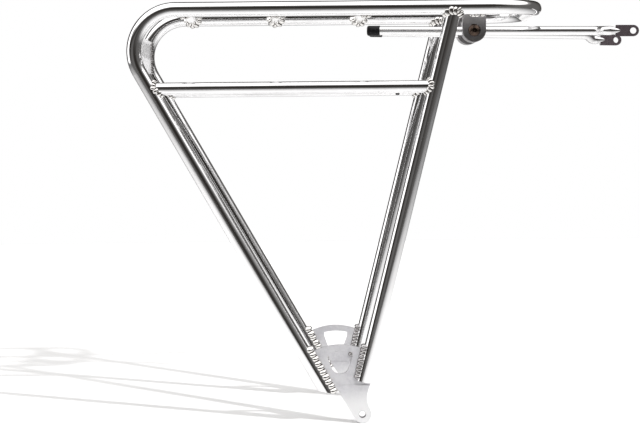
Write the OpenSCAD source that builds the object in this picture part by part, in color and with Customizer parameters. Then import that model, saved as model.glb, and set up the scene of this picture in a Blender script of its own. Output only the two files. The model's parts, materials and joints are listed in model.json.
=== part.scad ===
/* [Tubes] */
// Outside diameter of the main loop and the front struts
tube_d = 13; // [12:0.5:15]
// Outside diameter of the crossbars and the side rails
bar_d = 11; // [9:0.5:12]
// Wall thickness of every tube
tube_wall = 1.8; // [1.2:0.1:2.4]

/* [Platform] */
// Distance between the centre planes of the two side frames
frame_width = 148; // [135:1:170]
// Height of the platform's tube centrelines above the eyelets
platform_height = 352.4; // [320:0.2:400]
// Distance from the eyelets forward to the centreline of the front bow
bow_reach = 157.6; // [145:0.2:200]
// Bend radius of the two corners of the front bow
bow_bend_r = 40; // [30:1:50]
// Bend radius where each rear leg turns into the platform
rear_bend_r = 36; // [30:1:45]
// Distance from the start of the rear bends forward to the rearmost crossbar
rear_crossbar_ahead = 7.4; // [6.5:0.1:12]
// Distance from one crossbar to the next
crossbar_pitch = 78.5; // [60:0.5:85]
// Distance from the eyelets forward to the crossbar that carries the stays
stay_crossbar_reach = 104.2; // [95:0.2:115]

/* [Legs and struts] */
// Lean of the rear legs from upright
leg_lean = 29.7; // [26:0.1:33]
// Distance from the eyelets back to the foot of each rear leg
leg_foot_back = 31.1; // [28:0.1:36]
// Height of the foot of each rear leg above the eyelets
leg_foot_height = 19.7; // [17:0.1:22]
// Slope of the cut across the foot of each rear leg
leg_cut_slope = 10.4; // [0:0.1:20]
// Thickness of the weld that closes the foot of each rear leg
leg_plug = 2; // [1:0.1:4]
// Lean of the front struts from upright
strut_lean = 14.2; // [10:0.1:18]
// Distance from the eyelets forward to the foot of each front strut
strut_foot_reach = 1; // [0:0.1:3]
// Height of the foot of each front strut above the eyelets
strut_foot_height = 28.2; // [26:0.1:31]
// Height of the lower side rails above the eyelets
side_rail_height = 284; // [240:1:295]
// Diameter of the vent hole in each side rail
vent_d = 4; // [2:0.5:5]
// Distance from the strut back to the vent hole
vent_back = 24; // [15:1:60]

/* [Dropout plates] */
// Diameter of the eyelet hole
eyelet_d = 6; // [5:0.1:6.6]
// Width of the metal ring round the eyelet hole
eyelet_rim = 4.6; // [3.5:0.1:6]
// Thickness of the web between leg and strut
web_thick = 4.5; // [3:0.1:6]
// Thickness of the foot that carries the eyelet
foot_thick = 6; // [5:0.1:8]
// Height of the step where the foot meets the web
foot_step_height = 25.5; // [24:0.1:27]
// Height of the top of the arch above the eyelets
arch_height = 60.5; // [56:0.1:66]
// Radius of the arch
arch_r = 53; // [45:1:60]
// Distance from the eyelets back to the middle of the arch
arch_back = 19; // [17:0.1:21]
// Width of the band left under the arch
arch_band = 5.2; // [4:0.1:8]
// Width of the window at its top corners
window_top_width = 21.8; // [20:0.1:28]
// Height of the top corners of the window above the eyelets
window_corner_height = 50.5; // [48:0.1:51]
// Radius of the top corners of the window
window_corner_r = 3; // [1:0.1:3]
// Radius of the bottom of the window
window_bottom_r = 8; // [6:0.1:9]
// Height of the centre of the window's round bottom
window_bottom_height = 43; // [40:0.1:44]
// Distance from the eyelets back to the rear corner of the foot
foot_back = 20.8; // [18:0.1:22]
// Height of the rear corner of the foot above the eyelets
foot_back_height = 20.6; // [19:0.1:22]
// Radius of the hollow in the front edge of the foot
waist_r = 24.3; // [22:0.1:27]
// Distance from the eyelets forward to the deepest point of the hollow
waist_reach = 4.1; // [3.8:0.1:5]
// Height of the deepest point of the hollow
waist_height = 14.3; // [13.5:0.1:15]

/* [Light plate] */
// Height of the plate between the rear bends
light_plate_height = 30; // [20:1:36]
// Thickness of the plate
light_plate_thick = 3; // [2:0.5:4]
// Distance of the plate ahead of the rearmost point of the tube centreline
light_plate_inset = 2; // [1:0.5:3]
// Spacing of the inner pair of holes
light_inner_spacing = 50; // [40:1:60]
// Spacing of the outer pair of holes
light_outer_spacing = 80; // [70:1:90]
// Diameter of the holes
light_hole_d = 5.5; // [4.5:0.1:6.5]

/* [Stay brackets] */
// Distance from the middle of the rack to the middle of each bracket tab
tab_offset = 32; // [28:0.5:40]
// Width of each bracket tab and clamp
tab_width = 20.8; // [18:0.1:24]
// Thickness of each bracket tab
tab_thick = 4.5; // [3:0.1:6]
// Drop from the stay crossbar to the pivot
pivot_drop = 18; // [17.5:0.1:20]
// Depth of each clamp block
clamp_depth = 14; // [12:0.5:18]
// Height of each clamp block above the pivot
clamp_rise = 8.5; // [7:0.1:9]
// Radius of the corners of the tabs and clamps
bracket_corner_r = 1; // [0.5:0.1:2]
// Play between each moving clamp and its tab
clamp_play = 0.3; // [0.2:0.05:0.5]
// Diameter of the clamp screw
screw_d = 6; // [5:0.5:6]
// Radial play of the clamp screw in the tab
screw_play = 0.1; // [0.05:0.01:0.1]
// Diameter of the screw's round head
screw_head_d = 10.9; // [10:0.1:12]
// Height of the screw's round head
screw_head_height = 3.3; // [2.5:0.1:4]
// Width across the flats of the screw's socket
socket_width = 4; // [3:0.5:4]
// Depth of the screw's socket
socket_depth = 2; // [1.5:0.1:2.2]

/* [Stay rods] */
// Diameter of each stay rod
rod_d = 8; // [6:0.5:9]
// Radial play of the rod in its clamp
rod_play = 0.05; // [0.03:0.01:0.1]
// Outward angle of the rods
stay_splay = 7.6; // [4:0.1:9]
// Length of rod behind the pivot
rod_back_length = 93.6; // [70:0.1:100]
// Length of rod from the pivot forward to the joggle
rod_front_length = 107.2; // [90:0.1:140]
// Sideways offset of the joggle
joggle_offset = 8.6; // [6:0.1:12]
// Steepness of the joggle
joggle_angle = 50; // [35:1:60]
// Bend radius of the joggle
joggle_bend_r = 6.5; // [6:0.1:7.5]
// Distance from the joggle forward to the eye
eye_neck = 20.2; // [19.8:0.1:30]
// Width of the flattened eye
eye_width = 10; // [8.5:0.1:12]
// Thickness of the flattened eye
eye_thick = 3; // [2:0.1:4]
// Diameter of the hole in the eye
eye_hole_d = 5.5; // [5:0.1:6]
// Distance from the eye's hole back to the shoulders of the flat
eye_flat = 15.5; // [14:0.5:18]
// Distance from the eye's hole back to the tip of the taper
taper_tip = 10.5; // [8:0.1:10.8]
// Length of the taper between the rod and the flat
taper_length = 8.7; // [7:0.1:8.8]
// Forward dip of the right stay
right_stay_dip = 0.9; // [0:0.01:2]
// Forward dip of the left stay
left_stay_dip = 0.9; // [0:0.01:2]
// Turn of the right stay about its own length
right_stay_turn = 2; // [0:0.1:30]
// Turn of the left stay about its own length
left_stay_turn = 28; // [0:0.1:30]
// Turn of the right eye back against its joggle
right_eye_turn = 0; // [0:1:30]
// Turn of the left eye back against its joggle
left_eye_turn = 26; // [0:1:30]
// Distance that the right stay is slid forward in its clamp
right_stay_slide = 0; // [0:0.1:4]
// Distance that the left stay is slid forward in its clamp
left_stay_slide = 2.9; // [0:0.1:4]

/* [End caps] */
// Outside diameter of the rubber caps
cap_d = 9.2; // [8.8:0.1:11]
// Length of the rubber caps
cap_length = 11.7; // [9:0.1:15]
// Thickness of the closed end of the caps
cap_end = 1.6; // [1:0.1:3]
// Radius of the edge round the closed end
cap_round = 1.8; // [0.5:0.1:3]
// Radius of the edge round the open end
cap_lip_r = 0.25; // [0.1:0.05:0.3]

/* [Hidden] */
$fn = 96;
// Gap left between a coped tube end and the tube it is welded to
cope_gap = 0.05;
// Extra length of a cutting tool past the face it cuts
past = 1;
// Swelling of a bend over the straight stretches that run into it
bend_swell = 0.05;
// Length that a straight stretch runs on into a bend
run_in = 0.1;
// Depth that straight edges lie inside round corners, so that the two cross cleanly
tuck = 0.002;

half_width = frame_width / 2;
tube_r = tube_d / 2;
bar_r = bar_d / 2;

// Rear bend: its centre lies under the platform tube and ahead of the leg
rear_bend_z = platform_height - rear_bend_r;
leg_top_z = rear_bend_z - rear_bend_r * sin(leg_lean);
leg_length = (leg_top_z - leg_foot_height) / cos(leg_lean);
leg_top_x = -leg_foot_back - leg_length * sin(leg_lean);
rear_bend_x = leg_top_x + rear_bend_r * cos(leg_lean);
rear_crossbar_x = rear_bend_x + rear_crossbar_ahead;

// Front bow: the middle of its corner bends
bow_bend_x = bow_reach - bow_bend_r;
bow_bend_y = half_width - bow_bend_r;

// Strut: from its foot to the platform tube
strut_length = (platform_height - strut_foot_height) / cos(strut_lean);

// Side rail: the places where its centreline meets the leg and the strut
side_rail_rear = -leg_foot_back - (side_rail_height - leg_foot_height) * tan(leg_lean);
side_rail_front = strut_foot_reach + (side_rail_height - strut_foot_height) * tan(strut_lean);

// Window of the dropout plate
window_side_x = window_top_width / 2 - window_corner_r;
window_corner_z = window_corner_height;
eyelet_r = eyelet_d / 2 + eyelet_rim;

// Foot of the strut: the two edges of its square end
strut_front_x = strut_foot_reach + tube_r * cos(strut_lean);
strut_front_z = strut_foot_height - tube_r * sin(strut_lean);

// Stay pivot
pivot_z = platform_height - pivot_drop;
tab_inner_y = tab_offset - tab_thick / 2;
tab_outer_y = tab_offset + tab_thick / 2;
clamp_outer_y = tab_inner_y - clamp_play;
rod_y = clamp_outer_y - clamp_depth / 2;

// ---------- shared shapes ----------

// The ring that every tube has as its section, swollen at a bend
module tube_section(diameter, swell = 0) {
    difference() {
        circle(d = diameter + 2 * swell);
        circle(d = diameter - 2 * tube_wall - 2 * swell);
    }
}

// A straight tube that rises from the origin
module straight_tube(diameter, length) {
    linear_extrude(length)
        tube_section(diameter);
}

// A bent tube: it starts at the +X axis and turns about the Z axis
module bent_tube(diameter, bend_r, angle) {
    rotate_extrude(angle = angle)
        translate([bend_r, 0])
            tube_section(diameter, bend_swell);
}

// Direction, as an angle, of the outward normal on the straight edge from one round corner to the next
function edge_normal(from, to) =
    atan2(to[1] - from[1], to[0] - from[0])
    - acos((from[2] - to[2]) / norm([to[0] - from[0], to[1] - from[1]]));

// The point of a corner of the given radius that faces the given angle
function corner_point(corner, radius, angle) =
    [corner[0] + radius * cos(angle), corner[1] + radius * sin(angle)];

// The ends of the straight edge from one round corner to the next
function edge_ends(from, to) =
    let (angle = edge_normal(from, to))
    [corner_point(from, from[2] - tuck, angle), corner_point(to, to[2] - tuck, angle)];

// A flat outline with round corners, given anticlockwise as [x, y, radius]
module round_outline(corners) {
    last = len(corners) - 1;
    polygon([for (i = [0 : last]) each edge_ends(corners[i], corners[i == last ? 0 : i + 1])]);
    for (corner = corners)
        translate([corner[0], corner[1]])
            circle(r = corner[2]);
}

// Stands a flat outline up in the plane of a side frame and gives it thickness
module side_plate(thickness) {
    rotate([90, 0, 0])
        linear_extrude(thickness, center = true)
            children();
}

// Mirrors a right-hand piece into the left-hand one
module left_hand() {
    mirror([0, 1, 0])
        children();
}

// ---------- main loop ----------

// Moves to the middle of the right rear bend, with the bend's turn about +Z
module at_rear_bend() {
    translate([rear_bend_x, -half_width, rear_bend_z])
        rotate([90, 0, 0])
            rotate([0, 0, 90])
                children();
}

// Moves to the end of the right rear bend, where the leg begins, with +Z down the leg
module at_leg_top() {
    at_rear_bend()
        rotate([0, 0, 90 + leg_lean])
            translate([rear_bend_r, 0, 0])
                rotate([-90, 0, 0])
                    children();
}

// The straight part of the right rear leg as a solid bar, run on below the foot
module leg_bar(diameter) {
    at_leg_top()
        translate([0, 0, -run_in])
            cylinder(d = diameter, h = run_in + leg_length + tube_d);
}

// Everything below the sloping cut at the foot, raised by the given height
module below_foot(rise) {
    translate([-leg_foot_back, -half_width, leg_foot_height])
        rotate([0, leg_cut_slope, 0])
            translate([-2 * tube_d, -2 * tube_d, rise - 4 * tube_d])
                cube([4 * tube_d, 4 * tube_d, 4 * tube_d]);
}

// The right rear leg: a tube whose foot is cut at a slope and closed
module rear_leg() {
    difference() {
        leg_bar(tube_d);
        difference() {
            leg_bar(tube_d - 2 * tube_wall);
            below_foot(leg_plug);
        }
        below_foot(0);
    }
}

module loop_half() {
    rear_leg();
    at_rear_bend()
        bent_tube(tube_d, rear_bend_r, 90 + leg_lean);
    translate([rear_bend_x - run_in, -half_width, platform_height])
        rotate([0, 90, 0])
            straight_tube(tube_d, bow_bend_x - rear_bend_x + 2 * run_in);
    translate([bow_bend_x, -bow_bend_y, platform_height])
        rotate([0, 0, -90])
            bent_tube(tube_d, bow_bend_r, 90);
}

module main_loop() {
    color("silver") {
        loop_half();
        left_hand()
            loop_half();
        translate([bow_reach, bow_bend_y + run_in, platform_height])
            rotate([90, 0, 0])
                straight_tube(tube_d, 2 * (bow_bend_y + run_in));
    }
}

// ---------- room that a coped end leaves for the tube it meets ----------

// Room for the right platform tube
module rail_room() {
    translate([rear_bend_x, -half_width, platform_height])
        rotate([0, 90, 0])
            cylinder(r = tube_r + cope_gap, h = bow_bend_x - rear_bend_x);
}

// Room for the right rear leg
module leg_room() {
    leg_bar(tube_d + 2 * cope_gap);
}

// Room for the right rear bend
module rear_bend_room() {
    at_rear_bend()
        rotate_extrude(angle = 90 + leg_lean)
            translate([rear_bend_r, 0])
                circle(r = tube_r + bend_swell + cope_gap);
}

// Moves to the foot of the right strut, with +Z along the strut
module at_strut_foot() {
    translate([strut_foot_reach, -half_width, strut_foot_height])
        rotate([0, strut_lean, 0])
            children();
}

// Room for the right strut, from its foot up
module strut_room() {
    at_strut_foot()
        cylinder(r = tube_r + cope_gap, h = strut_length);
}

// ---------- struts, side rails and crossbars ----------

module strut() {
    difference() {
        at_strut_foot()
            straight_tube(tube_d, strut_length);
        rail_room();
    }
}

module right_strut() {
    color("lightgray")
        strut();
}

module left_strut() {
    color("lightgray")
        left_hand()
            strut();
}

// A side rail with its ends coped to leg and strut, and a vent hole that faces in and down
module side_rail() {
    difference() {
        translate([side_rail_rear, -half_width, side_rail_height])
            rotate([0, 90, 0])
                straight_tube(bar_d, side_rail_front - side_rail_rear);
        leg_room();
        strut_room();
        translate([side_rail_front - vent_back, -half_width, side_rail_height])
            rotate([-135, 0, 0])
                cylinder(d = vent_d, h = bar_d);
    }
}

module right_side_rail() {
    color("gainsboro")
        side_rail();
}

module left_side_rail() {
    color("gainsboro")
        left_hand()
            side_rail();
}

// A crossbar at the given distance forward of the eyelets, coped to both platform tubes
module crossbar(reach) {
    difference() {
        translate([reach, half_width, platform_height])
            rotate([90, 0, 0])
                straight_tube(bar_d, frame_width);
        rail_room();
        left_hand()
            rail_room();
    }
}

module rear_crossbar() {
    color("darkgray")
        crossbar(rear_crossbar_x);
}

module middle_crossbar() {
    color("darkgray")
        crossbar(rear_crossbar_x + crossbar_pitch);
}

module front_crossbar() {
    color("darkgray")
        crossbar(rear_crossbar_x + 2 * crossbar_pitch);
}

module stay_crossbar() {
    color("gray")
        crossbar(stay_crossbar_reach);
}

// ---------- light plate ----------

// A hole through the light plate at the given distance from the middle
module light_hole(offset_y) {
    translate([0, offset_y, 0])
        rotate([0, 90, 0])
            cylinder(d = light_hole_d, h = light_plate_thick + 2 * past, center = true);
}

module light_plate() {
    color("gainsboro")
        difference() {
            translate([rear_bend_x - rear_bend_r + light_plate_inset, 0, rear_bend_z])
                difference() {
                    cube([light_plate_thick, frame_width, light_plate_height], center = true);
                    for (spacing = [light_inner_spacing, light_outer_spacing]) {
                        light_hole(spacing / 2);
                        light_hole(-spacing / 2);
                    }
                }
            leg_room();
            rear_bend_room();
            left_hand()
                leg_room();
            left_hand()
                rear_bend_room();
        }
}

// ---------- dropout plates ----------

// Space between the centrelines of leg and strut, from the foot step to above the arch
module web_space() {
    top = arch_height + past;
    slope_leg = tan(leg_lean);
    slope_strut = tan(strut_lean);
    polygon([
        [-leg_foot_back, leg_foot_height],
        [strut_front_x, foot_step_height],
        [strut_front_x, strut_front_z],
        [strut_foot_reach, strut_foot_height],
        [strut_foot_reach + (top - strut_foot_height) * slope_strut, top],
        [-leg_foot_back - (top - leg_foot_height) * slope_leg, top]
    ]);
}

// The window: an arch above, a round bottom below
module window() {
    intersection() {
        translate([-arch_back, arch_height - arch_r])
            circle(r = arch_r - arch_band);
        round_outline([
            [-arch_back, window_bottom_height, window_bottom_r],
            [window_side_x - arch_back, window_corner_z, window_corner_r],
            [window_side_x - arch_back, arch_height, window_corner_r],
            [-window_side_x - arch_back, arch_height, window_corner_r],
            [-window_side_x - arch_back, window_corner_z, window_corner_r]
        ]);
    }
}

// The hollow in the front edge of web and foot
module waist() {
    translate([waist_reach + waist_r, waist_height])
        circle(r = waist_r);
}

module web() {
    intersection() {
        difference() {
            web_space();
            window();
            waist();
        }
        translate([-arch_back, arch_height - arch_r])
            circle(r = arch_r);
    }
}

// The foot: from leg and strut down to the eyelet, hollowed at its front edge
module foot() {
    rear_corner = [-foot_back, foot_back_height, tuck];
    boss = [0, 0, eyelet_r];
    difference() {
        polygon([
            edge_ends(rear_corner, boss)[0],
            edge_ends(rear_corner, boss)[1],
            [0, 0],
            corner_point(boss, eyelet_r - tuck, 30),
            [strut_front_x, foot_step_height],
            [-leg_foot_back, foot_step_height]
        ]);
        waist();
    }
    circle(r = eyelet_r);
}

module dropout() {
    difference() {
        union() {
            translate([0, -half_width, 0])
                side_plate(web_thick)
                    web();
            translate([0, -half_width, 0])
                side_plate(foot_thick)
                    foot();
        }
        leg_room();
        strut_room();
        translate([0, -half_width, 0])
            rotate([90, 0, 0])
                cylinder(d = eyelet_d, h = foot_thick + 2 * past, center = true);
    }
}

module right_dropout() {
    color("whitesmoke")
        dropout();
}

module left_dropout() {
    color("whitesmoke")
        left_hand()
            dropout();
}

// ---------- stay brackets ----------

// The outline of a tab or clamp: round below the pivot, square above it
module bracket_outline(rise) {
    side = tab_width / 2 - bracket_corner_r;
    round_outline([
        [0, 0, tab_width / 2],
        [side, rise - bracket_corner_r, bracket_corner_r],
        [-side, rise - bracket_corner_r, bracket_corner_r]
    ]);
}

module tab() {
    difference() {
        translate([stay_crossbar_reach, -tab_offset, pivot_z])
            difference() {
                side_plate(tab_thick)
                    bracket_outline(pivot_drop);
                rotate([90, 0, 0])
                    cylinder(r = screw_d / 2 + screw_play, h = tab_thick + 2 * past, center = true);
            }
        translate([stay_crossbar_reach, 0, platform_height])
            rotate([90, 0, 0])
                cylinder(r = bar_r + cope_gap, h = frame_width);
    }
}

module right_tab() {
    color("dimgray")
        tab();
}

module left_tab() {
    color("dimgray")
        left_hand()
            tab();
}

// Moves to the right pivot and tips forward by the dip of the stay
module at_pivot(dip) {
    translate([stay_crossbar_reach, 0, pivot_z])
        rotate([0, dip, 0])
            children();
}

// A clamp block with its cross bore for the rod and its threaded bore for the screw
module clamp(dip) {
    at_pivot(dip)
        difference() {
            translate([0, -rod_y, 0])
                side_plate(clamp_depth)
                    bracket_outline(clamp_rise);
            translate([0, -rod_y, 0])
                rotate([0, 0, -stay_splay])
                    rotate([0, 90, 0])
                        cylinder(r = rod_d / 2 + rod_play, h = 2 * tab_width, center = true);
            translate([0, -rod_y, 0])
                rotate([90, 0, 0])
                    cylinder(d = screw_d, h = clamp_depth);
        }
}

module right_clamp() {
    color("slategray")
        clamp(right_stay_dip);
}

module left_clamp() {
    color("slategray")
        left_hand()
            clamp(left_stay_dip);
}

// The clamp screw: a round head with a six-sided socket, and a shank whose tip stops at the rod
module clamp_screw(dip) {
    tip_y = rod_y + rod_d / 2 / cos(stay_splay) + screw_d / 2 * tan(stay_splay) + clamp_play;
    seat_y = tab_outer_y + clamp_play;
    dome_r = (pow(screw_head_d / 2, 2) + pow(screw_head_height, 2)) / (2 * screw_head_height);
    at_pivot(dip)
        rotate([90, 0, 0])
            difference() {
                union() {
                    translate([0, 0, tip_y])
                        cylinder(d = screw_d, h = seat_y - tip_y + past);
                    intersection() {
                        translate([0, 0, seat_y])
                            cylinder(d = screw_head_d, h = screw_head_height);
                        translate([0, 0, seat_y + screw_head_height - dome_r])
                            sphere(r = dome_r);
                    }
                }
                translate([0, 0, seat_y + screw_head_height - socket_depth])
                    cylinder(d = socket_width / cos(30), h = screw_head_height, $fn = 6);
            }
}

module right_clamp_screw() {
    color("tan")
        clamp_screw(right_stay_dip);
}

module left_clamp_screw() {
    color("tan")
        left_hand()
            clamp_screw(left_stay_dip);
}

// ---------- stay rods ----------

// Straight stretch in the middle of the joggle
joggle_rise = 2 * joggle_bend_r * (1 - cos(joggle_angle));
joggle_straight = (joggle_offset - joggle_rise) / sin(joggle_angle);

// Moves to the right rod where it crosses the pivot: +X is forward along the rod
module at_rod(dip) {
    at_pivot(dip)
        translate([0, -rod_y, 0])
            rotate([0, 0, -stay_splay])
                children();
}

// The flattened eye, with its flat faces towards the sides
module eye() {
    shoulder_x = bracket_corner_r - eye_flat;
    shoulder_z = eye_width / 2 - bracket_corner_r;
    difference() {
        side_plate(eye_thick)
            round_outline([
                [0, 0, eye_width / 2],
                [shoulder_x, shoulder_z, bracket_corner_r],
                [shoulder_x, -shoulder_z, bracket_corner_r]
            ]);
        rotate([90, 0, 0])
            cylinder(d = eye_hole_d, h = eye_thick + 2 * past, center = true);
    }
}

// Moves past a bend in the XY plane that starts at the origin along +X
module past_bend(bend_r, angle) {
    side = angle < 0 ? -1 : 1;
    translate([0, side * bend_r, 0])
        rotate([0, 0, angle])
            translate([0, -side * bend_r, 0])
                children();
}

// A solid bend in the XY plane that starts at the origin along +X; a negative angle turns it to -Y
module bent_rod(diameter, bend_r, angle) {
    side = angle < 0 ? -1 : 1;
    translate([0, side * bend_r, 0])
        rotate([0, 0, angle < 0 ? 90 + angle : -90])
            rotate_extrude(angle = abs(angle))
                translate([bend_r, 0])
                    circle(r = diameter / 2 + bend_swell);
}

// A solid straight bar along +X between two bends
module straight_rod(diameter, length) {
    translate([-run_in, 0, 0])
        rotate([0, 90, 0])
            cylinder(d = diameter, h = length + 2 * run_in);
}

// The end of the rod: a short neck, a taper and the flattened eye
module rod_end(eye_turn) {
    neck = eye_neck - taper_tip - taper_length;
    translate([-run_in, 0, 0])
        rotate([0, 90, 0])
            cylinder(d = rod_d, h = neck + run_in);
    translate([neck, 0, 0])
        rotate([0, 90, 0])
            cylinder(d1 = rod_d, d2 = eye_thick - 2 * cope_gap, h = taper_length);
    translate([eye_neck, 0, 0])
        rotate([-eye_turn, 0, 0])
            eye();
}

// The joggle: a bend out, a short straight and a bend back, then the end of the rod
module joggled_end(eye_turn) {
    bent_rod(rod_d, joggle_bend_r, -joggle_angle);
    past_bend(joggle_bend_r, -joggle_angle) {
        straight_rod(rod_d, joggle_straight);
        translate([joggle_straight, 0, 0]) {
            bent_rod(rod_d, joggle_bend_r, joggle_angle);
            past_bend(joggle_bend_r, joggle_angle)
                rod_end(eye_turn);
        }
    }
}

// The whole stay: straight through its clamp, then the joggle and the eye
module stay(dip, slide, turn, eye_turn) {
    at_rod(dip)
        translate([slide, 0, 0])
            rotate([turn, 0, 0]) {
                translate([-rod_back_length, 0, 0])
                    rotate([0, 90, 0])
                        cylinder(d = rod_d, h = rod_back_length + rod_front_length + run_in);
                translate([rod_front_length, 0, 0])
                    joggled_end(eye_turn);
            }
}

module right_stay() {
    color("lightsteelblue")
        stay(right_stay_dip, right_stay_slide, right_stay_turn, right_eye_turn);
}

module left_stay() {
    color("lightsteelblue")
        left_hand()
            stay(left_stay_dip, left_stay_slide, left_stay_turn, left_eye_turn);
}

// ---------- end caps ----------

// Half the section of a cap, with its closed end at the bottom
module cap_section() {
    closed_x = cap_d / 2 - cap_round;
    open_x = cap_d / 2 - cap_lip_r;
    open_z = cap_length - cap_lip_r;
    difference() {
        round_outline([
            [closed_x, cap_round, cap_round],
            [open_x, open_z, cap_lip_r],
            [-open_x, open_z, cap_lip_r],
            [-closed_x, cap_round, cap_round]
        ]);
        translate([-rod_d / 2, cap_end])
            square([rod_d, cap_length]);
        translate([-cap_d, -past])
            square([cap_d, cap_length + 2 * past]);
    }
}

module cap(dip, slide) {
    at_rod(dip)
        translate([slide - rod_back_length - cap_end, 0, 0])
            rotate([0, 90, 0])
                rotate_extrude()
                    cap_section();
}

module right_cap() {
    color("black")
        cap(right_stay_dip, right_stay_slide);
}

module left_cap() {
    color("black")
        left_hand()
            cap(left_stay_dip, left_stay_slide);
}

main_loop();
right_strut();
left_strut();
right_side_rail();
left_side_rail();
rear_crossbar();
middle_crossbar();
front_crossbar();
stay_crossbar();
light_plate();
right_dropout();
left_dropout();
right_tab();
left_tab();
right_clamp();
left_clamp();
right_clamp_screw();
left_clamp_screw();
right_stay();
left_stay();
right_cap();
left_cap();
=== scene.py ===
# %% [markdown]
# # A bicycle rear rack
#
# The rack is a welded frame of aluminium tubes. The exact parts come ready-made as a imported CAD
# model, the frame. They are loaded first and never moved, so everything that follows is placed
# from them. What this lesson adds is what a drawing leaves out: the weld beads that hold the tubes
# together, the finish of every surface, and a small studio to look at it in.

# %% Load the frame
import json
import math
import random

import bpy
from mathutils import Matrix, Vector


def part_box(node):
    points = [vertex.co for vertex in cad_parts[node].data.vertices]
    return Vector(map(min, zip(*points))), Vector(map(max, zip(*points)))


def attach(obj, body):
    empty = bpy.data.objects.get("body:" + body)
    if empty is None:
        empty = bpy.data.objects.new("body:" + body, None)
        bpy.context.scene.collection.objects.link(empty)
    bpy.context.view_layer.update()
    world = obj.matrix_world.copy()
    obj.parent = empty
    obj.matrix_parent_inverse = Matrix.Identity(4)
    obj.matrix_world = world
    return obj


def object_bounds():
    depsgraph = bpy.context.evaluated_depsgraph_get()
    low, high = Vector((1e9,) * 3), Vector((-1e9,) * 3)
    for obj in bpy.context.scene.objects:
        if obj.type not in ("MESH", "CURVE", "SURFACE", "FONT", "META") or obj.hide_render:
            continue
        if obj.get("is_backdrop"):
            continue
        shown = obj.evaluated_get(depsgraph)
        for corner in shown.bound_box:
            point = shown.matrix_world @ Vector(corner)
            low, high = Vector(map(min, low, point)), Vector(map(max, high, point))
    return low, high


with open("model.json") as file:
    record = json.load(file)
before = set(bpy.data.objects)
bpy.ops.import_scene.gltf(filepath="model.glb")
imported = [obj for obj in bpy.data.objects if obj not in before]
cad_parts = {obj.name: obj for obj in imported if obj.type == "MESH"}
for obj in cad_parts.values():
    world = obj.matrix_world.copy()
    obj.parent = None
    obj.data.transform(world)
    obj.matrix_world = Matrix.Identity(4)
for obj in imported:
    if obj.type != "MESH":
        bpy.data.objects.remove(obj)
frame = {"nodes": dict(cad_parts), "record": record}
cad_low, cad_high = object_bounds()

MM = 0.001
print("size in mm:", [round(side / MM, 1) for side in cad_high - cad_low])

# %% [markdown]
# ## Where things are
#
# Every place is worked out from the boxes of the loaded parts and from a few sizes that the tubes
# are bent and cut to. A bead or a grain pattern that is placed this way lies on its tube without
# any fitting.

# %% Sizes and places of the tubes
TUBE_R = 6.5 * MM
BAR_R = 5.5 * MM
LEG_LEAN = math.radians(29.7)
STRUT_LEAN = math.radians(14.2)
REAR_BEND_R = 36 * MM
BOW_BEND_R = 40 * MM


def middle_of(node):
    """The middle of a part's box."""
    low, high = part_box(node)
    return (low + high) / 2


platform_z = middle_of("middle_crossbar").z
half_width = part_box("main_loop")[1].y - TUBE_R
bow_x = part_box("main_loop")[1].x - TUBE_R
rear_bend_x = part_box("main_loop")[0].x + TUBE_R + REAR_BEND_R
rear_bend_z = platform_z - REAR_BEND_R
side_rail_z = middle_of("right_side_rail").z

# One point on the centreline of each leg and strut, as x and z, and the direction it runs up in
leg_top = Vector((
    rear_bend_x - REAR_BEND_R * math.cos(LEG_LEAN),
    rear_bend_z - REAR_BEND_R * math.sin(LEG_LEAN),
))
strut_foot = Vector((1.0, 28.2)) * MM
up_leg = Vector((-math.sin(LEG_LEAN), math.cos(LEG_LEAN)))
up_strut = Vector((math.sin(STRUT_LEAN), math.cos(STRUT_LEAN)))
print("platform height in mm:", round(platform_z / MM, 1), "half width:", round(half_width / MM, 1))

# %% [markdown]
# ## Camera
#
# The rack is looked at from its right side, square on, from about a metre and a half away with a
# long lens. A long lens keeps the two side frames nearly on top of each other. The camera stands
# level with the top third of the rack, and tips down by a degree and a half to take in the feet. It
# also turns and rolls by half a degree, and a small lens shift does the rest.

# %% Camera
CAMERA_PLACE = Vector((-58.91, -1590.22, 254.47)) * MM
CAMERA_TILT = math.radians(-1.5374)
CAMERA_ROLL = math.radians(0.5574)
CAMERA_TURN = math.radians(-0.5061)
LENS = 98.42
SHIFT = (0.02, -0.07)

bpy.ops.object.select_all(action="DESELECT")
bpy.ops.object.camera_add(
    location=CAMERA_PLACE, rotation=(math.pi / 2 + CAMERA_TILT, CAMERA_ROLL, CAMERA_TURN)
)
camera = bpy.context.object
camera.name = "camera"
camera.data.lens = LENS
camera.data.shift_x, camera.data.shift_y = SHIFT
camera.data.clip_start, camera.data.clip_end = 0.05, 50
bpy.context.scene.camera = camera
print("camera looks nearly along +Y from", [round(x, 3) for x in camera.location])

# %% [markdown]
# ## Building node trees
#
# A material or a sky is a tree of nodes. Two small helpers keep the trees readable: one adds a
# node and feeds its inputs, the other does one sum. An input takes either a plain number or the
# output of another node.


# %% Helpers for node trees
def add_node(tree, kind, inputs=None, **settings):
    """Adds a node, sets its options, and feeds its inputs with values or with other outputs."""
    node = tree.nodes.new(kind)
    for name, value in settings.items():
        setattr(node, name, value)
    for key, value in (inputs or {}).items():
        if isinstance(value, bpy.types.NodeSocket):
            tree.links.new(value, node.inputs[key])
        else:
            node.inputs[key].default_value = value
    return node


def sum_node(tree, operation, *values):
    """One sum on one, two or three values."""
    return add_node(tree, "ShaderNodeMath", dict(enumerate(values)), operation=operation).outputs[0]


def ramp(tree, value, low, high, from_value=0.0, to_value=1.0, steps="SMOOTHSTEP"):
    """A soft step: from_value at low, to_value at high."""
    node = add_node(
        tree, "ShaderNodeMapRange", {0: value, 1: low, 2: high, 3: from_value, 4: to_value},
        interpolation_type=steps,
    )
    return node.outputs[0]


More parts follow.
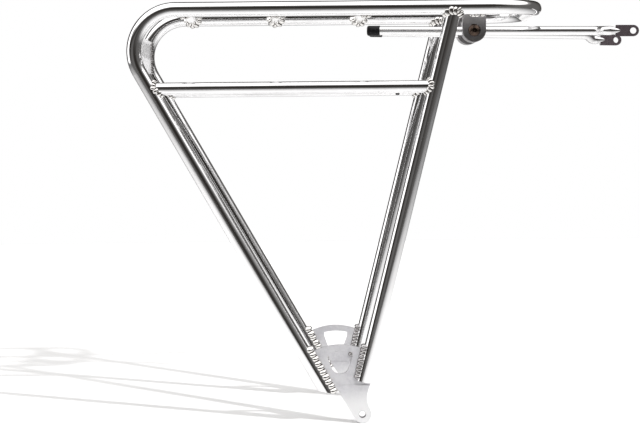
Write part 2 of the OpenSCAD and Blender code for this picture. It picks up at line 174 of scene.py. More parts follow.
def mix_colours(tree, share, first, second):
    """Blends two colours: all first at share 0, all second at share 1."""
    node = add_node(tree, "ShaderNodeMix", {0: share, 6: first, 7: second}, data_type="RGBA")
    return node.outputs[2]


# %% [markdown]
# ## Studio
#
# Polished metal shows hardly any colour of its own: it shows the room. This room has a wide soft
# light overhead, one tall light strip on the left, walls that glow a little, a lit backdrop, and
# darkness behind the camera. The darkness is what draws the black line along every tube. The room
# is a world shader that works from the direction of each ray. The camera itself sees plain white.

# %% World
DARK_ROOM = (0.0155, 0.0138, 0.0122, 1)
WHITE_LIGHT = (1.0, 0.99, 0.985, 1)
LIGHT_STRENGTH = 1.7

world = bpy.data.worlds.new("studio_world")
bpy.context.scene.world = world
world.use_nodes = True
room = world.node_tree
room.nodes.clear()

direction = add_node(room, "ShaderNodeTexCoord").outputs["Generated"]
parts = add_node(room, "ShaderNodeSeparateXYZ", {0: direction})
ray_x, ray_y, ray_z = parts.outputs
sideways = sum_node(room, "ABSOLUTE", ray_x)

# The light overhead: its edge lies lower at the sides, higher behind the rack, and fades out softly
tilted_up = sum_node(room, "MULTIPLY_ADD", ray_y, -0.15, ray_z)
further_up = sum_node(room, "MULTIPLY_ADD", sum_node(room, "MAXIMUM", ray_y, 0.0), -0.12, tilted_up)
overhead = sum_node(room, "MULTIPLY_ADD", sideways, 0.37, further_up)
ceiling = ramp(room, overhead, 0.76, 0.86)
skirt = ramp(room, overhead, 0.60, 0.78, 0.0, 0.16)

# The strip on the left: directions that point almost straight to that side
flat_length = sum_node(room, "SQRT", sum_node(room, "SUBTRACT", 1.0, sum_node(room, "POWER", ray_z, 2.0)))
side_share = sum_node(room, "DIVIDE", ray_x, flat_length)
left_strip = ramp(room, side_share, -0.93, -0.965)

# The walls glow a little: the right one beside the light, the left one low down in front
right_wall = ramp(room, side_share, 0.30, 0.88, 0.0, 0.06)
left_wall = sum_node(
    room, "MULTIPLY",
    sum_node(
        room, "MULTIPLY",
        ramp(room, side_share, 0.05, -0.30, 0.0, 0.06), ramp(room, side_share, -0.80, -0.55),
    ),
    ramp(room, ray_z, 0.30, 0.05),
)

# The paper behind the rack is lit too, in a band at the height of the rack
behind = ramp(room, ray_y, 0.86, 0.93)
level = ramp(room, sum_node(room, "ABSOLUTE", ray_z), 0.22, 0.14)
backdrop = sum_node(room, "MULTIPLY", sum_node(room, "MULTIPLY", behind, level), 0.62)

# The ground beyond the table
ground = ramp(room, ray_z, 0.08, -0.42, 0.0, 0.11, steps="LINEAR")

light_share = ceiling
for light in (skirt, left_strip, right_wall, left_wall, backdrop, ground):
    light_share = sum_node(room, "MAXIMUM", light_share, light)
room_colour = mix_colours(room, light_share, DARK_ROOM, WHITE_LIGHT)
room_light = add_node(room, "ShaderNodeBackground", {"Color": room_colour, "Strength": LIGHT_STRENGTH})
seen_white = add_node(room, "ShaderNodeBackground", {"Color": (1, 1, 1, 1), "Strength": 1.0})
is_seen = add_node(room, "ShaderNodeLightPath").outputs["Is Camera Ray"]
both = add_node(
    room, "ShaderNodeMixShader", {0: is_seen, 1: room_light.outputs[0], 2: seen_white.outputs[0]}
)
add_node(room, "ShaderNodeOutputWorld", {0: both.outputs[0]})

# %% [markdown]
# ## Table and key light
#
# The table is a sheet of white paper. The camera sees all of it evenly white, but what the tubes
# mirror is a sheet that gets darker with distance from the rack. No real paper does both: it is a
# studio trick, made with the light path, that gives each tube a soft grey flank.

# %% Table and key light
FLOOR_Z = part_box("right_dropout")[0].z - 0.2 * MM
TABLE_FRONT, TABLE_BACK, TABLE_SIDE = 1.0, 2.2, 1.8
PAPER_WHITE = (0.80, 0.80, 0.80, 1)
PAPER_DARK = (0.0, 0.0, 0.0, 1)
RACK_MIDDLE_X = -0.08
LIT_HALF_LENGTH = 0.22
LIT_HALF_WIDTH = 0.10
FALLOFF = 0.52

bpy.ops.object.select_all(action="DESELECT")
bpy.ops.mesh.primitive_plane_add(size=2, location=(0, (TABLE_BACK - TABLE_FRONT) / 2, FLOOR_Z))
floor = bpy.context.object
floor.name = "studio_floor"
floor.scale = (TABLE_SIDE, (TABLE_BACK + TABLE_FRONT) / 2, 1)
bpy.ops.object.transform_apply(location=True, rotation=False, scale=True)
floor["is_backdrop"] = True

# Mirrored paper keeps its white within the lit rectangle, then fades to dark over the falloff
paper = bpy.data.materials.new("studio_paper")
paper.use_nodes = True
sheet = paper.node_tree
paper_shader = sheet.nodes["Principled BSDF"]
on_sheet = add_node(sheet, "ShaderNodeTexCoord").outputs["Object"]
sheet_x, sheet_y, _ = add_node(sheet, "ShaderNodeSeparateXYZ", {0: on_sheet}).outputs
off_middle = sum_node(sheet, "ABSOLUTE", sum_node(sheet, "SUBTRACT", sheet_x, RACK_MIDDLE_X))
beside = sum_node(sheet, "MAXIMUM", sum_node(sheet, "SUBTRACT", off_middle, LIT_HALF_LENGTH), 0.0)
off_line = sum_node(sheet, "ABSOLUTE", sheet_y)
before = sum_node(sheet, "MAXIMUM", sum_node(sheet, "SUBTRACT", off_line, LIT_HALF_WIDTH), 0.0)
far_off = sum_node(sheet, "MULTIPLY_ADD", beside, beside, sum_node(sheet, "MULTIPLY", before, before))
lit_share = sum_node(sheet, "DIVIDE", 1.0, sum_node(sheet, "MULTIPLY_ADD", far_off, 1 / FALLOFF**2, 1.0))
seen_share = add_node(sheet, "ShaderNodeLightPath").outputs["Is Camera Ray"]
paper_share = sum_node(sheet, "MAXIMUM", lit_share, seen_share)
paper_tint = mix_colours(sheet, paper_share, PAPER_DARK, PAPER_WHITE)
sheet.links.new(paper_tint, paper_shader.inputs["Base Color"])
paper_shader.inputs["Roughness"].default_value = 0.9
paper_shader.inputs["Specular IOR Level"].default_value = 0.0
floor.data.materials.append(paper)

# The key light is far away, to the right and in front, so shadows fall back to the left with soft
# edges. It is kept out of reflections, because its point would draw one hard line on every tube.
KEY_FROM = Vector((0.95, -0.80, 0.75))
bpy.ops.object.light_add(
    type="SUN", location=KEY_FROM, rotation=KEY_FROM.to_track_quat("Z", "Y").to_euler()
)
key = bpy.context.object
key.name = "key_light"
key.data.angle = math.radians(1.5)
key.data.energy = 2.8
key.visible_glossy = False
bpy.context.scene.view_settings.view_transform = "Standard"
print("floor at", round(FLOOR_Z / MM, 2), "mm, key light", round(key.data.energy, 1), "W per square metre")

# %% [markdown]
# ## Grain that follows a tube
#
# The tubes are brushed lengthwise before they are bent, so the fine lines run round every bend.
# A noise pattern becomes such lines when it is stretched along the tube. For a straight tube a
# turned and stretched copy of the object's coordinates will do. For a bent tube the helper
# below unrolls the bend: it gives the distance from the tube's centreline and the length along
# it. Past the ends of the bend the angle stops growing, so the straights come out right too.


# %% Coordinates along a tube
ACROSS_SCALE = 1900.0
ALONG_SCALE = 14.0


def weighted(tree, first, first_weight, second, second_weight):
    """first * first_weight + second * second_weight"""
    part = sum_node(tree, "MULTIPLY", first, first_weight)
    return sum_node(tree, "MULTIPLY_ADD", second, second_weight, part)


def follow_bend(tree, first, second, centre, radius, middle, reach):
    """Distance outside a bent centreline, and length along it, from two coordinates in the bend's plane.
    The bend spans the angles middle - reach to middle + reach round centre."""
    a = sum_node(tree, "SUBTRACT", first, centre[0])
    b = sum_node(tree, "SUBTRACT", second, centre[1])
    u = weighted(tree, a, math.cos(middle), b, math.sin(middle))
    v = weighted(tree, b, math.cos(middle), a, -math.sin(middle))
    angle = sum_node(tree, "ARCTAN2", v, u)
    angle = sum_node(tree, "MAXIMUM", sum_node(tree, "MINIMUM", angle, reach), -reach)
    cosine, sine = sum_node(tree, "COSINE", angle), sum_node(tree, "SINE", angle)
    from_centre = sum_node(tree, "MULTIPLY_ADD", v, sine, sum_node(tree, "MULTIPLY", u, cosine))
    across = sum_node(tree, "SUBTRACT", from_centre, radius)
    past_end = sum_node(
        tree, "SUBTRACT", sum_node(tree, "MULTIPLY", v, cosine), sum_node(tree, "MULTIPLY", u, sine)
    )
    return across, sum_node(tree, "MULTIPLY_ADD", angle, radius, past_end)


def object_coordinates(tree):
    """The object's own coordinates in metres."""
    return add_node(tree, "ShaderNodeTexCoord").outputs["Object"]


def loop_grain(tree):
    """Stretched coordinates that follow the whole main loop: leg, rear bend, platform and bow."""
    x, y, z = add_node(tree, "ShaderNodeSeparateXYZ", {0: object_coordinates(tree)}).outputs
    rear_turn = math.pi / 2 + LEG_LEAN
    across_up, along_rear = follow_bend(
        tree, x, z, (rear_bend_x, rear_bend_z), REAR_BEND_R, math.pi / 2 + rear_turn / 2, rear_turn / 2
    )
    bow_centre = (bow_x - BOW_BEND_R, half_width - BOW_BEND_R)
    across_out, along_bow = follow_bend(
        tree, x, sum_node(tree, "ABSOLUTE", y), bow_centre, BOW_BEND_R, math.pi / 4, math.pi / 4
    )
    along = sum_node(tree, "SUBTRACT", along_rear, along_bow)
    stretched = add_node(tree, "ShaderNodeCombineXYZ", {
        0: sum_node(tree, "MULTIPLY", across_up, ACROSS_SCALE),
        1: sum_node(tree, "MULTIPLY", across_out, ACROSS_SCALE),
        2: sum_node(tree, "MULTIPLY", along, ALONG_SCALE),
    })
    return stretched.outputs[0]


def straight_grain(lengthwise):
    """A function that gives stretched coordinates for straight tubes that run along a direction."""
    turn = Vector(lengthwise).rotation_difference(Vector((0, 0, 1))).to_euler()

    def grain(tree):
        turned = add_node(
            tree, "ShaderNodeMapping", {"Vector": object_coordinates(tree), "Rotation": turn},
            vector_type="POINT",
        )
        stretched = add_node(tree, "ShaderNodeVectorMath", {
            0: turned.outputs[0],
            1: (ACROSS_SCALE, ACROSS_SCALE, ALONG_SCALE),
        }, operation="MULTIPLY")
        return stretched.outputs[0]

    return grain


# %% [markdown]
# ## Polished and brushed metal
#
# The tubes are nearly mirrors. Three things keep them from looking like computer chrome: the
# brushed lines, which are shallow and make the reflections fray across the tube, faint clouds
# of haze where the polish is thinner, and a slight change of tint. Each is a noise pattern at
# its own scale, and they drive the roughness, the bump and the colour.


# %% Brushed metal
def noise(tree, vector, scale, detail=3.0, roughness=0.5):
    """The grey value of a noise pattern."""
    node = add_node(
        tree, "ShaderNodeTexNoise",
        {"Vector": vector, "Scale": scale, "Detail": detail, "Roughness": roughness},
    )
    return node.outputs["Fac"]


def new_material(name):
    """An empty material, with its tree and its main shader."""
    material = bpy.data.materials.new(name)
    material.use_nodes = True
    return material, material.node_tree, material.node_tree.nodes["Principled BSDF"]


def brushed_metal(name, grain, light, dark, smooth, rough, grain_depth):
    """A metal with fine lines along grain, tints from dark to light, and roughness from smooth to rough."""
    material, tree, shader = new_material(name)
    place = object_coordinates(tree)
    lines = noise(tree, grain(tree), 1.0, detail=4.0, roughness=0.65)
    haze = noise(tree, place, 38.0, detail=4.0, roughness=0.6)
    specks = noise(tree, place, 900.0, detail=2.0)
    haze_and_lines = weighted(tree, haze, 0.6, lines, 0.4)
    colour = mix_colours(tree, ramp(tree, haze_and_lines, 0.32, 0.62), dark, light)
    tree.links.new(colour, shader.inputs["Base Color"])
    tree.links.new(ramp(tree, haze_and_lines, 0.35, 0.68, smooth, rough), shader.inputs["Roughness"])
    height = weighted(tree, lines, 1.0, specks, 0.15)
    bump = add_node(tree, "ShaderNodeBump", {"Strength": 0.5, "Distance": grain_depth, "Height": height})
    tree.links.new(bump.outputs[0], shader.inputs["Normal"])
    shader.inputs["Metallic"].default_value = 1.0
    return material


TUBE_TINTS = {"light": (0.93, 0.93, 0.935, 1), "dark": (0.86, 0.855, 0.86, 1)}
TUBE_FINISH = {**TUBE_TINTS, "smooth": 0.05, "rough": 0.13, "grain_depth": 0.012 * MM}


def strut_direction(lean):
    """The direction of a leg or strut in the plane of a side frame."""
    return (math.sin(lean), 0, math.cos(lean))


loop_metal = brushed_metal("brushed_loop_tube", loop_grain, **TUBE_FINISH)
strut_metal = brushed_metal("brushed_strut_tube", straight_grain(strut_direction(STRUT_LEAN)), **TUBE_FINISH)
rail_metal = brushed_metal("brushed_side_rail_tube", straight_grain((1, 0, 0)), **TUBE_FINISH)
crossbar_metal = brushed_metal("brushed_crossbar_tube", straight_grain((0, 1, 0)), **TUBE_FINISH)
ROD_FINISH = {
    "light": (0.93, 0.93, 0.935, 1), "dark": (0.87, 0.865, 0.865, 1),
    "smooth": 0.05, "rough": 0.11, "grain_depth": 0.006 * MM,
}

# %% [markdown]
# ## Rods with dark eyes
#
# The end of each rod is forged flat, and the flat is made dark and dull, while the rod is polished up to the
# start of the flat. The dark flat is a second finish on the same piece, so it needs a mask: close to the
# middle plane of the eye, and no further back than the flat. The record says where the hole is and which way
# it points, and the slide joint says which way the rod runs.

# %% Rods with dark eyes
EYE_HALF = 1.5 * MM
FLAT_BACK = 15.4 * MM
DARK_FLAT = {"colour": (0.078, 0.062, 0.068, 1), "roughness": 0.42, "metallic": 0.35}
mounts = {mount["name"]: mount for mount in frame["record"]["mounts"]}
joints = {joint["name"]: joint for joint in frame["record"]["behaviour"]["joints"]}


def distance_along(tree, point, start, direction):
    """How far a point lies from a start, measured along a direction."""
    offset = add_node(tree, "ShaderNodeVectorMath", {0: point, 1: start}, operation="SUBTRACT").outputs[0]
    dot = add_node(tree, "ShaderNodeVectorMath", {0: offset, 1: direction}, operation="DOT_PRODUCT")
    return dot.outputs["Value"]


def rod_with_eye(side_name):
    """Polished rod metal that turns dark and dull on the flat of one side's eye."""
    hole, rod = mounts[side_name + "_stay_eye"], joints[side_name + "_stay_slide"]
    metal = brushed_metal(side_name + "_polished_rod", straight_grain(rod["axis"]), **ROD_FINISH)
    tree = metal.node_tree
    shader = tree.nodes["Principled BSDF"]
    place = object_coordinates(tree)
    off_plane = sum_node(tree, "ABSOLUTE", distance_along(tree, place, hole["pos_m"], hole["axis"]))
    on_flat = ramp(tree, off_plane, EYE_HALF + 0.25 * MM, EYE_HALF + 0.05 * MM)
    forward = distance_along(tree, place, hole["pos_m"], rod["axis"])
    past_neck = ramp(tree, forward, -FLAT_BACK, -FLAT_BACK + 0.4 * MM)
    mask = sum_node(tree, "MULTIPLY", on_flat, past_neck)
    # The flat of each eye gets a dark, mottled colour and a duller surface.
    flat_mottle = noise(tree, place, 700.0, detail=5.0, roughness=0.65)
    tint = mix_colours(tree, ramp(tree, flat_mottle, 0.35, 0.65), DARK_FLAT["colour"], (0.11, 0.09, 0.10, 1))
    polished = shader.inputs["Base Color"].links[0].from_socket
    tree.links.new(mix_colours(tree, mask, polished, tint), shader.inputs["Base Color"])
    smooth = shader.inputs["Roughness"].links[0].from_socket
    dull = sum_node(tree, "MULTIPLY_ADD", mask, DARK_FLAT["roughness"] - 0.05, smooth)
    tree.links.new(dull, shader.inputs["Roughness"])
    tree.links.new(ramp(tree, mask, 0.0, 1.0, 1.0, DARK_FLAT["metallic"]), shader.inputs["Metallic"])
    return metal


right_rod_metal, left_rod_metal = rod_with_eye("right"), rod_with_eye("left")
print("rods:", right_rod_metal.name, "and", left_rod_metal.name)

# %% [markdown]
# ## Satin plates, brackets, screws and rubber
#
# The flat parts are not polished: the plates are blasted, which leaves a fine, even grain that
# scatters light, and the brackets are satin and darker. Rubber is the only part that is not
# metal. One helper makes all of them: a fine grain for the bump, and broad clouds that vary the
# tint and the roughness.


# %% Satin surfaces
def satin_surface(name, light, dark, smooth, rough, metallic, grain_scale, grain_depth, strength=0.5):
    """A surface with a fine even grain, and clouds in its tint and roughness."""
    material, tree, shader = new_material(name)
    place = object_coordinates(tree)
    clouds = noise(tree, place, 60.0, detail=5.0, roughness=0.62)
    grain = noise(tree, place, grain_scale, detail=3.0, roughness=0.6)
    scuffs = noise(tree, place, 420.0, detail=6.0, roughness=0.7)
    mixed = weighted(tree, clouds, 0.65, scuffs, 0.35)
    tree.links.new(mix_colours(tree, ramp(tree, mixed, 0.36, 0.62), dark, light), shader.inputs["Base Color"])
    tree.links.new(ramp(tree, mixed, 0.38, 0.62, rough, smooth), shader.inputs["Roughness"])
    height = weighted(tree, grain, 0.7, scuffs, 0.3)
    bump = add_node(tree, "ShaderNodeBump", {"Strength": strength, "Distance": grain_depth, "Height": height})
    tree.links.new(bump.outputs[0], shader.inputs["Normal"])
    shader.inputs["Metallic"].default_value = metallic
    return material


plate_metal = satin_surface(
    "blasted_plate", light=(0.66, 0.655, 0.675, 1), dark=(0.55, 0.545, 0.57, 1),
    smooth=0.38, rough=0.55, metallic=0.55, grain_scale=1600.0, grain_depth=0.03 * MM,
)
light_plate_metal = satin_surface(
    "blasted_light_plate", light=(0.93, 0.93, 0.935, 1), dark=(0.80, 0.795, 0.81, 1),
    smooth=0.42, rough=0.58, metallic=0.35, grain_scale=1600.0, grain_depth=0.03 * MM,
)
bracket_metal = satin_surface(
    "satin_bracket", light=(0.46, 0.45, 0.455, 1), dark=(0.39, 0.38, 0.385, 1),
    smooth=0.30, rough=0.38, metallic=1.0, grain_scale=2200.0, grain_depth=0.012 * MM,
)
# Painted reflection: the steel head is given a near-black warm brown, standing in for the dark room it
# mirrors.
screw_painted_reflection_metal = satin_surface(
    "screw_steel", light=(0.105, 0.075, 0.058, 1), dark=(0.05, 0.035, 0.028, 1),
    smooth=0.18, rough=0.30, metallic=1.0, grain_scale=2600.0, grain_depth=0.01 * MM,
)
cap_rubber = satin_surface(
    "black_rubber", light=(0.010, 0.010, 0.011, 1), dark=(0.005, 0.005, 0.006, 1),
    smooth=0.22, rough=0.34, metallic=0.0, grain_scale=1800.0, grain_depth=0.02 * MM,
)
cap_rubber.node_tree.nodes["Principled BSDF"].inputs["Specular IOR Level"].default_value = 0.15


print("satin surfaces: plates, brackets, screws and rubber")

# %% [markdown]
# ## The foot of a dropout plate
#
# The foot is painted lighter towards its end, as painted light, and the wall of the eyelet's hole is painted
# dark, as painted shade. Both are masks over the blasted finish, made from the distance below the plate's web
# and from the eyelet's axis.


# %% Foot of a dropout plate
FOOT_TOP, FOOT_END = 27 * MM, 6 * MM
EYELET_R = mounts["dropout_eyelets"]["dims"]["r_mm"] * MM


def paint_foot_light_and_hole_shade(material):
    """Paints the foot of a dropout plate lighter towards its end, as painted light, and the wall of its
    eyelet hole dark, as painted shade.
    """
    tree = material.node_tree
    shader = tree.nodes["Principled BSDF"]
    x, _, z = add_node(tree, "ShaderNodeSeparateXYZ", {0: object_coordinates(tree)}).outputs
    blasted = shader.inputs["Base Color"].links[0].from_socket
    # Painted light: the foot's colour is blended lighter towards its end, as if more light fell there.
    painted_foot_light = mix_colours(tree, ramp(tree, z, FOOT_TOP, FOOT_END), blasted, (0.80, 0.80, 0.805, 1))
    off_axis = sum_node(tree, "SQRT", sum_node(tree, "MULTIPLY_ADD", x, x, sum_node(tree, "MULTIPLY", z, z)))
    # Painted shade: the wall of the eyelet's hole is painted nearly black.
    painted_hole_shade = ramp(tree, off_axis, EYELET_R + 0.25 * MM, EYELET_R + 0.05 * MM)
    tree.links.new(mix_colours(tree, painted_hole_shade, painted_foot_light, (0.09, 0.085, 0.088, 1)), shader.inputs["Base Color"])


paint_foot_light_and_hole_shade(plate_metal)
print("foot fades from", round(FOOT_TOP / MM), "to", round(FOOT_END / MM), "mm, eyelet radius", EYELET_R / MM)

# %% [markdown]
# ## Weld metal
#
# The crests of a bead are bright, and the grooves between its drops are dark: burnt metal, darkened much
# further as painted shade. Pointiness tells them apart: it is a little over a half on a crest, and under a
# half in a groove.


# %% Weld metal
CREST_LOW, CREST_HIGH = 0.507, 0.522


def weld_finish(name, bright, dull, groove):
    """Bright metal on the crests of a bead, and near-black metal between its drops: burnt, and darkened
    further as painted shade.
    """
    material, tree, shader = new_material(name)
    place = object_coordinates(tree)
    bend = add_node(tree, "ShaderNodeNewGeometry").outputs["Pointiness"]
    soot_and_shade_noise = noise(tree, place, 240.0, detail=5.0, roughness=0.65)
    depth = sum_node(tree, "MULTIPLY_ADD", soot_and_shade_noise, 0.03, bend)
    crest = ramp(tree, depth, CREST_LOW, CREST_HIGH)
    crest_tint = mix_colours(tree, ramp(tree, soot_and_shade_noise, 0.35, 0.65), dull, bright)
    # Painted shade: the grooves take the near-black groove colour, part burnt metal and part shade painted
    # in.
    tree.links.new(mix_colours(tree, crest, groove, crest_tint), shader.inputs["Base Color"])
    tree.links.new(ramp(tree, crest, 0.0, 1.0, 0.45, 0.13), shader.inputs["Roughness"])
    ripple = noise(tree, place, 2200.0, detail=3.0)
    bump = add_node(tree, "ShaderNodeBump", {"Strength": 0.4, "Distance": 0.015 * MM, "Height": ripple})
    tree.links.new(bump.outputs[0], shader.inputs["Normal"])
    shader.inputs["Metallic"].default_value = 1.0
    return material


bright_weld = weld_finish(
    "bright_weld", bright=(0.97, 0.955, 0.93, 1), dull=(0.80, 0.785, 0.765, 1),
    groove=(0.045, 0.030, 0.024, 1),
)
# A darker copy of the weld metal, painted grey as painted shade, for beads that lie in shade.
painted_shade_weld = weld_finish(
    "painted_shade_weld", bright=(0.52, 0.51, 0.51, 1), dull=(0.36, 0.35, 0.35, 1),
    groove=(0.10, 0.088, 0.082, 1),
)
print("weld metals:", bright_weld.name, "and", painted_shade_weld.name)

# %% [markdown]
# ## Hand out the finishes
#
# A CAD part keeps its mesh and only gets a material. The table says which finish each kind of
# part has.

# %% Assign the finishes
FINISHES = {
    loop_metal: ["main_loop"],
    strut_metal: ["right_strut", "left_strut"],
    rail_metal: ["right_side_rail", "left_side_rail"],
    crossbar_metal: ["rear_crossbar", "middle_crossbar", "front_crossbar", "stay_crossbar"],
    plate_metal: ["right_dropout", "left_dropout"],
    light_plate_metal: ["light_plate"],
    bracket_metal: ["right_tab", "left_tab", "right_clamp", "left_clamp"],
    screw_painted_reflection_metal: ["right_clamp_screw", "left_clamp_screw"],
    right_rod_metal: ["right_stay"],
    left_rod_metal: ["left_stay"],
    cap_rubber: ["right_cap", "left_cap"],
}
for material, nodes in FINISHES.items():
    for node in nodes:
        materials = frame["nodes"][node].data.materials
        materials.clear()
        materials.append(material)
print("finished parts:", sum(len(nodes) for nodes in FINISHES.values()))

# %% [markdown]
# ## Weld beads
#
# The tubes are joined by hand-welded beads. A welder adds one drop of metal after another, and
# each drop freezes before the next, so a bead looks like a row of coins pushed over. The same
# way works here: one drop is modelled, a copy is laid at every step of the joint, and a voxel
# remesh melts them into one skin. Sculpting or a bump map could show ripples too, but only real
# shape gives the broken highlights on the outline.


# %% One drop of weld metal
def make_drop():
    """A drop of radius 1: round, and flattened underneath."""
    bpy.ops.object.select_all(action="DESELECT")
    bpy.ops.mesh.primitive_uv_sphere_add(segments=20, ring_count=12, radius=1)
    drop = bpy.context.object
    bpy.ops.object.mode_set(mode="EDIT")
    bpy.ops.mesh.select_all(action="DESELECT")
    bpy.ops.object.mode_set(mode="OBJECT")
    for vertex in drop.data.vertices:
        vertex.select = vertex.co.z < -0.1
    bpy.ops.object.mode_set(mode="EDIT")
    bpy.ops.transform.resize(value=(1.0, 1.0, 0.6), center_override=(0, 0, 0))
    bpy.ops.object.mode_set(mode="OBJECT")
    return drop


drop = make_drop()
drop_mesh = drop.data.copy()
bpy.data.objects.remove(drop)
print("a drop has", len(drop_mesh.polygons), "faces")

# %% [markdown]
# ## Laying a bead
#
# Each drop is tipped over along the bead, and its size and place vary a little, as a hand does.
# The bead then rides on the rack's body.


# %% Lay a bead
DROP_TILT = math.radians(34)
VOXEL = 0.33 * MM
chance = random.Random(7)


def lay_bead(name, stations, width, height, length, closed=False, metal=bright_weld):
    """A bead of drops on stations, each a place and the direction that the bead faces there.
    Width, height and length are those of one drop."""
    bpy.ops.object.select_all(action="DESELECT")
    last = len(stations) - 1
    for i, (place, facing) in enumerate(stations):
        before = stations[i - 1][0] if closed or i > 0 else place
        after = stations[(i + 1) % (last + 1)][0] if closed or i < last else place
        along = (after - before).normalized()
        across = facing.cross(along).normalized()
        outward = along.cross(across)
        size = 1 + chance.uniform(-0.07, 0.07)
        turn = Matrix((along, across, outward)).transposed().to_4x4()
        tilt = Matrix.Rotation(DROP_TILT, 4, "Y")
        shape = Matrix.Diagonal((length / 2 * size, width / 2 * size, height / 2 * size, 1))
        wander = along * chance.uniform(-0.06, 0.06) * length + across * chance.uniform(-0.03, 0.03) * width
        mesh = drop_mesh.copy()
        mesh.transform(Matrix.Translation(place + wander) @ turn @ tilt @ shape)
        copy = bpy.data.objects.new(name, mesh)
        bpy.context.scene.collection.objects.link(copy)
        copy.select_set(True)
        bpy.context.view_layer.objects.active = copy
    bpy.ops.object.join()
    bead = bpy.context.object
    bead.name = name
    melt = bead.modifiers.new("melt", "REMESH")
    melt.mode = "VOXEL"
    melt.voxel_size = VOXEL
    bpy.ops.object.modifier_apply(modifier=melt.name)
    soften = bead.modifiers.new("soften", "SMOOTH")
    soften.factor, soften.iterations = 0.4, 1
    bpy.ops.object.modifier_apply(modifier=soften.name)
    bpy.ops.object.shade_smooth()
    bead.data.materials.append(metal)
    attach(bead, "rack")
    print(name, "-", len(stations), "drops,", len(bead.data.polygons), "faces")
    return bead


# %% [markdown]
# ## Beads round the tube ends
#
# Where a round bar runs into a round tube, the joint is a saddle-shaped ring. From each point
# round the bar a straight line along the bar is followed until it meets the tube, which is one
# quadratic equation. The bead faces half way between the two surfaces there.


# %% Beads round the tube ends
def ring_of_joint(bar_point, bar_dir, bar_r, tube_point, tube_dir, tube_r, pitch, lift):
    """Stations round the end of a bar that runs along bar_dir into a tube."""
    bar_dir, tube_dir = bar_dir.normalized(), tube_dir.normalized()
    side = bar_dir.orthogonal().normalized()
    other = bar_dir.cross(side)
    count = round(2 * math.pi * (bar_r + lift) / pitch)
    stations = []
    for i in range(count):
        angle = 2 * math.pi * i / count
        out = side * math.cos(angle) + other * math.sin(angle)
        start = bar_point + out * bar_r
        step = bar_dir - tube_dir * bar_dir.dot(tube_dir)
        gap = (start - tube_point) - tube_dir * (start - tube_point).dot(tube_dir)
        inside = step.dot(gap) ** 2 - step.length_squared * (gap.length_squared - tube_r**2)
        distance = (-step.dot(gap) - math.sqrt(max(inside, 0))) / step.length_squared
        facing = (out + (gap + step * distance).normalized()).normalized()
        stations.append((start + bar_dir * distance + facing * lift, facing))
    return stations


def kept_below(stations, highest):
    """The same stations, none of them above a height: a bead is dressed flush on top of the platform."""
    return [(Vector((place.x, place.y, min(place.z, highest))), facing) for place, facing in stations]


def on_side(x, z, side):
    """A point in the middle plane of a side frame: side -1 is the right one, +1 the left one."""
    return Vector((x, side * half_width, z))


def line_point(point, upward, height):
    """The x where a leaning centreline passes a height."""
    return point.x + upward.x * (height - point.y) / upward.y


SIDES = {"right": -1, "left": 1}
X_AXIS, Y_AXIS = Vector((1, 0, 0)), Vector((0, 1, 0))
BAR_BEAD = {"width": 8.6 * MM, "height": 4.2 * MM, "length": 5.4 * MM}
RAIL_BEAD = {"width": 5.6 * MM, "height": 3.2 * MM, "length": 4.2 * MM}
STRUT_BEAD = {"width": 7.2 * MM, "height": 3.4 * MM, "length": 5.8 * MM}
BAR_PITCH, RAIL_PITCH, STRUT_PITCH = 3.9 * MM, 3.0 * MM, 3.0 * MM
BAR_BEAD_TOP = platform_z + 3.2 * MM
STRUT_BEAD_TOP = platform_z - 3.4 * MM

for side_name, side in SIDES.items():
    for bar in ("rear", "middle", "front", "stay"):
        bar_x = middle_of(bar + "_crossbar").x
        ring = ring_of_joint(
            Vector((bar_x, 0, platform_z)), Y_AXIS * side, BAR_R,
            on_side(bar_x, platform_z, side), X_AXIS, TUBE_R, BAR_PITCH, lift=0.9 * MM,
        )
        ring = kept_below(ring, BAR_BEAD_TOP)
        lay_bead(f"weld_{side_name}_{bar}_crossbar", ring, closed=True, **BAR_BEAD)

    leg_x = line_point(leg_top, up_leg, side_rail_z)
    strut_x = line_point(strut_foot, up_strut, side_rail_z)
    rail_middle = on_side((leg_x + strut_x) / 2, side_rail_z, side)
    ends = {
        "leg": (-X_AXIS, on_side(leg_x, side_rail_z, side), up_leg),
        "strut": (X_AXIS, on_side(strut_x, side_rail_z, side), up_strut),
    }
    for end, (bar_dir, tube_point, upward) in ends.items():
        ring = ring_of_joint(
            rail_middle, bar_dir, BAR_R, tube_point, Vector((upward.x, 0, upward.y)), TUBE_R,
            RAIL_PITCH, lift=0.5 * MM,
        )
        lay_bead(f"weld_{side_name}_rail_to_{end}", ring, closed=True, **RAIL_BEAD)

    strut_top_x = line_point(strut_foot, up_strut, platform_z)
    ring = ring_of_joint(
        on_side(strut_foot.x, strut_foot.y, side), Vector((up_strut.x, 0, up_strut.y)), TUBE_R,
        on_side(strut_top_x, platform_z, side), X_AXIS, TUBE_R, STRUT_PITCH, lift=0.4 * MM,
    )
    ring = kept_below(ring, STRUT_BEAD_TOP)
    lay_bead(f"weld_{side_name}_strut_top", ring, closed=True, **STRUT_BEAD)

# %% [markdown]
# ## Beads along the plates
#
# The dropout plates are thinner than the tubes, so a fillet runs down each side of each plate.
# It lies in the corner between the flat plate and the round tube, and faces half way between them. The beads
# at the legs are coarse and bright, and those at the struts finer, in a copy of the weld metal painted grey
# as painted shade.

# %% Beads along the dropout plates
WEB_HALF = 2.25 * MM
LEG_BEAD = {"width": 8.6 * MM, "height": 4.8 * MM, "length": 6.2 * MM}
WEB_BEAD = {"width": 7.4 * MM, "height": 4.0 * MM, "length": 4.4 * MM}
LEG_PITCH, WEB_PITCH = 4.7 * MM, 2.9 * MM
LEG_START, LEG_END = -1.5 * MM, 39 * MM
WEB_START, WEB_END = 3 * MM, 30 * MM
leg_foot = Vector((-31.1, 19.7)) * MM


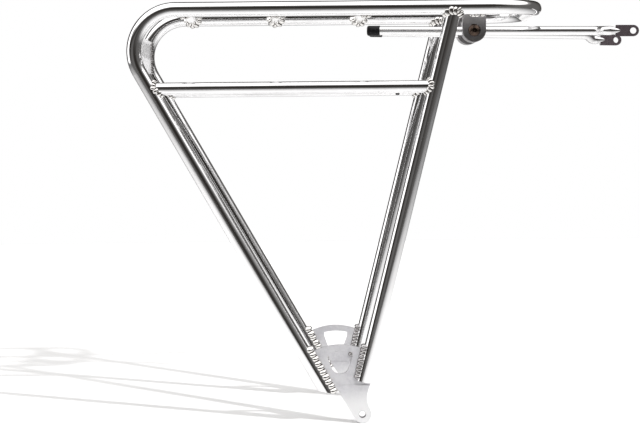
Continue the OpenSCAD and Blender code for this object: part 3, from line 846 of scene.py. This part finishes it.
def corner_line(foot, upward, inward, start, end, side, face, pitch):
    """Stations along the corner between a tube and a dropout plate, from start to end up the tube."""
    reach = math.sqrt(TUBE_R**2 - WEB_HALF**2)
    towards = Vector((inward.x, 0, inward.y))
    flat = Y_AXIS * face
    facing = (towards * reach / TUBE_R + flat * (1 + WEB_HALF / TUBE_R)).normalized()
    count = round((end - start) / pitch)
    stations = []
    for i in range(count + 1):
        at = foot + upward * (start + (end - start) * i / count) + inward * reach
        stations.append((on_side(at.x, at.y, side) + flat * WEB_HALF + facing * 0.5 * MM, facing))
    return stations


for side_name, side in SIDES.items():
    for face_name, face in (("outer", side), ("inner", -side)):
        inward_leg = Vector((math.cos(LEG_LEAN), math.sin(LEG_LEAN)))
        line = corner_line(leg_foot, up_leg, inward_leg, LEG_START, LEG_END, side, face, LEG_PITCH)
        lay_bead(f"weld_{side_name}_{face_name}_plate_to_leg", line, **LEG_BEAD)
        inward_strut = Vector((-math.cos(STRUT_LEAN), math.sin(STRUT_LEAN)))
        line = corner_line(
            strut_foot, up_strut, inward_strut, WEB_START, WEB_END, side, face, WEB_PITCH
        )
        # The strut beads take the copy of the weld metal painted grey, as painted shade.
        lay_bead(f"weld_{side_name}_{face_name}_plate_to_strut", line, metal=painted_shade_weld, **WEB_BEAD)

# %% [markdown]
# ## Beads at the light plate and at the tabs
#
# The light plate meets the tubes along two upright corners on each side. Each tab hangs under the
# round stay crossbar, so its two short beads curve with the bar.

# %% Beads at the light plate and at the tabs
LIGHT_BEAD = {"width": 7.0 * MM, "height": 3.6 * MM, "length": 4.6 * MM}
TAB_BEAD = {"width": 3.2 * MM, "height": 2.2 * MM, "length": 2.8 * MM}
LIGHT_STEPS, TAB_DROPS = 9, 5
TAB_PITCH = 1.5 * MM
plate_low, plate_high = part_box("light_plate")
PLATE_END = half_width - TUBE_R
for side_name, side in SIDES.items():
    for face_name, face, x in (("front", 1, plate_high.x), ("rear", -1, plate_low.x)):
        facing = (X_AXIS * face - Y_AXIS * side).normalized()
        line = []
        for i in range(LIGHT_STEPS + 1):
            z = plate_low.z + (plate_high.z - plate_low.z) * (0.06 + 0.88 * i / LIGHT_STEPS)
            line.append((Vector((x, side * PLATE_END, z)), facing))
        # The light plate's beads take the copy of the weld metal painted grey, as painted shade.
        lay_bead(
            f"weld_{side_name}_light_plate_{face_name}", line, metal=painted_shade_weld, **LIGHT_BEAD
        )

    tab_low, tab_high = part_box(side_name + "_tab")
    for face_name, y, out in (("outer", max, 1), ("inner", min, -1)):
        edge = y(abs(tab_low.y), abs(tab_high.y))
        facing = (Y_AXIS * side * out - Vector((0, 0, 1))).normalized()
        middle = middle_of("stay_crossbar")
        line = []
        for i in range(TAB_DROPS):
            offset = (i - TAB_DROPS // 2) * TAB_PITCH
            z = platform_z - math.sqrt(BAR_R**2 - offset**2)
            line.append((Vector((middle.x + offset, side * edge, z)), facing))
        lay_bead(f"weld_{side_name}_tab_{face_name}", line, **TAB_BEAD)

# %% [markdown]
# ## Growth past the CAD box
#
# How far the finished model reaches past the CAD model's box is printed, on each side.

# %% Sizes
low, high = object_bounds()
grown_low, grown_high = cad_low - low, high - cad_high
print("grown in mm:", [round(x / MM, 2) for x in grown_low], [round(x / MM, 2) for x in grown_high])
